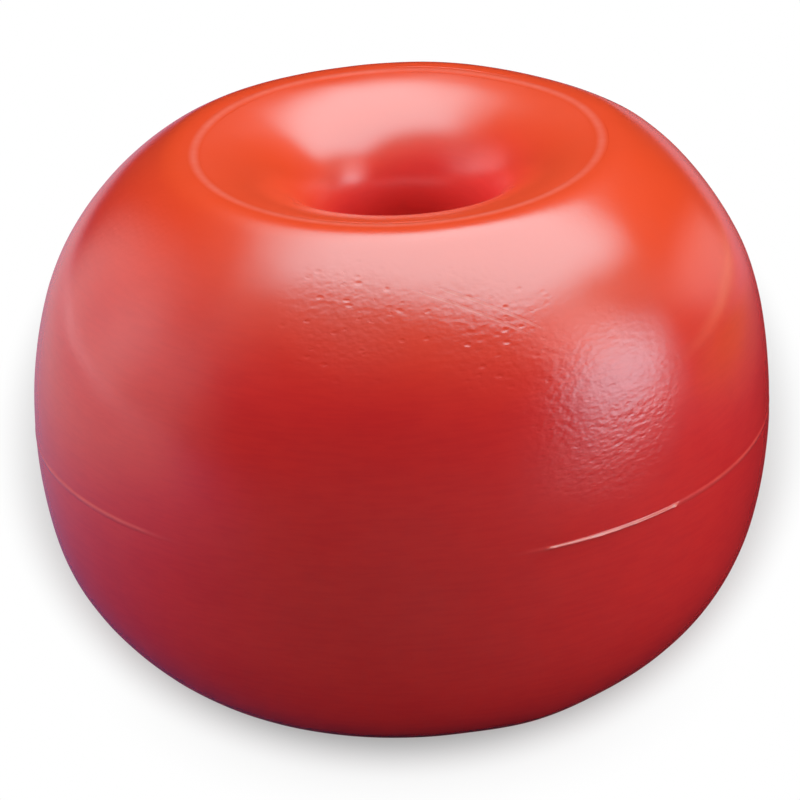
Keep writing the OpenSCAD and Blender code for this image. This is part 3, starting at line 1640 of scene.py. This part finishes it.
    def _ring_bead(self, end: End, word: str) -> bpy.types.Object:
        """Builds the bead in the ring seam of one end.

        Args:
            end: The end.
            word: Word for it in the piece's name.

        Returns:
            The new piece.
        """
        return WeldBead(
            section=self.section,
            name=f"{word}_ring_bead",
            end=end,
            seam=self.section.ring_run,
            proud=self.ring_proud,
            groove=self.ring_groove,
            pale_at=self.ring_pale_at,
            seed=self.ring_seed + end.value,
            steps=self.ring_steps,
        ).build()

    def _waist_bead(self) -> bpy.types.Object:
        """Builds the bead in the waist seam.

        Returns:
            The new piece.
        """
        return WeldBead(
            section=self.section,
            name="waist_bead",
            end=End.TOP,
            seam=self.section.run_at(self.section.seam_z),
            proud=self.waist_proud,
            groove=self.waist_groove,
            pale_at=self.waist_pale_at,
            seed=self.waist_seed,
            stretches=self.waist_stretches,
            blobs=self.waist_blobs,
        ).build()


# Name, use, bearing, elevation, distance, size and radiance of each lamp, then what isn't as usual
LAMPS = (
    Lamp(
        "overhead", LampUse.GLOSS, 121.0, 70.0, 2.66, (4.9, 4.25), 4.0,
        colour=(0.3, 1.0, 1.12), face=LampFace.DOWN, soft=0.55, lean=25.0,
    ),
    Lamp("overhead_body", LampUse.BODY, 110.0, 86.0, 1.0, (1.3, 1.14), 2.1, face=LampFace.DOWN, soft=0.1),
    Lamp("front_body", LampUse.BODY, 0.0, 60.0, 1.6, (1.8, 1.2), 1.0),
    Lamp("right_body", LampUse.BODY, 84.0, 34.0, 1.4, (1.2, 1.2), 3.4),
    Lamp("right_low_body", LampUse.BODY, 70.0, 0.0, 1.2, (1.0, 0.8), 1.9),
    Lamp("left_body", LampUse.BODY, -85.0, 35.0, 1.4, (1.2, 1.2), 2.9),
    Lamp(
        "right_front", LampUse.GLOSS, 69.0, 9.0, 1.0, (1.0, 0.92), 3.1,
        colour=(0.45, 1.0, 1.14), shape=LampShape.ELLIPSE, soft=0.85,
    ),
    Lamp(
        "right_high", LampUse.GLOSS, 62.0, 31.0, 1.0, (0.8, 0.7), 1.3,
        shape=LampShape.ELLIPSE, soft=0.9,
    ),
    Lamp(
        "left_back", LampUse.GLOSS, -117.0, 9.0, 1.0, (1.2, 1.7), 0.66,
        shape=LampShape.ELLIPSE, soft=0.7, lean=28.0,
    ),
    Lamp(
        "left_front", LampUse.GLOSS, -85.0, 8.0, 1.0, (1.3, 1.3), 0.48,
        shape=LampShape.ELLIPSE, soft=0.95,
    ),
    Lamp(
        "right_back", LampUse.GLOSS, 120.0, 10.0, 1.0, (1.1, 0.55), 0.6,
        shape=LampShape.ELLIPSE, soft=0.8, lean=25.0,
    ),
)


def main() -> None:
    """Builds the float and its studio."""
    logging.basicConfig(level=logging.INFO, format="%(name)s: %(message)s")
    section = Section.from_frame()
    Float(section).build()
    Studio(Vector((0.0, 0.0, section.mid_z)), View(), LAMPS).build()


if __name__ == "__main__":
    main()
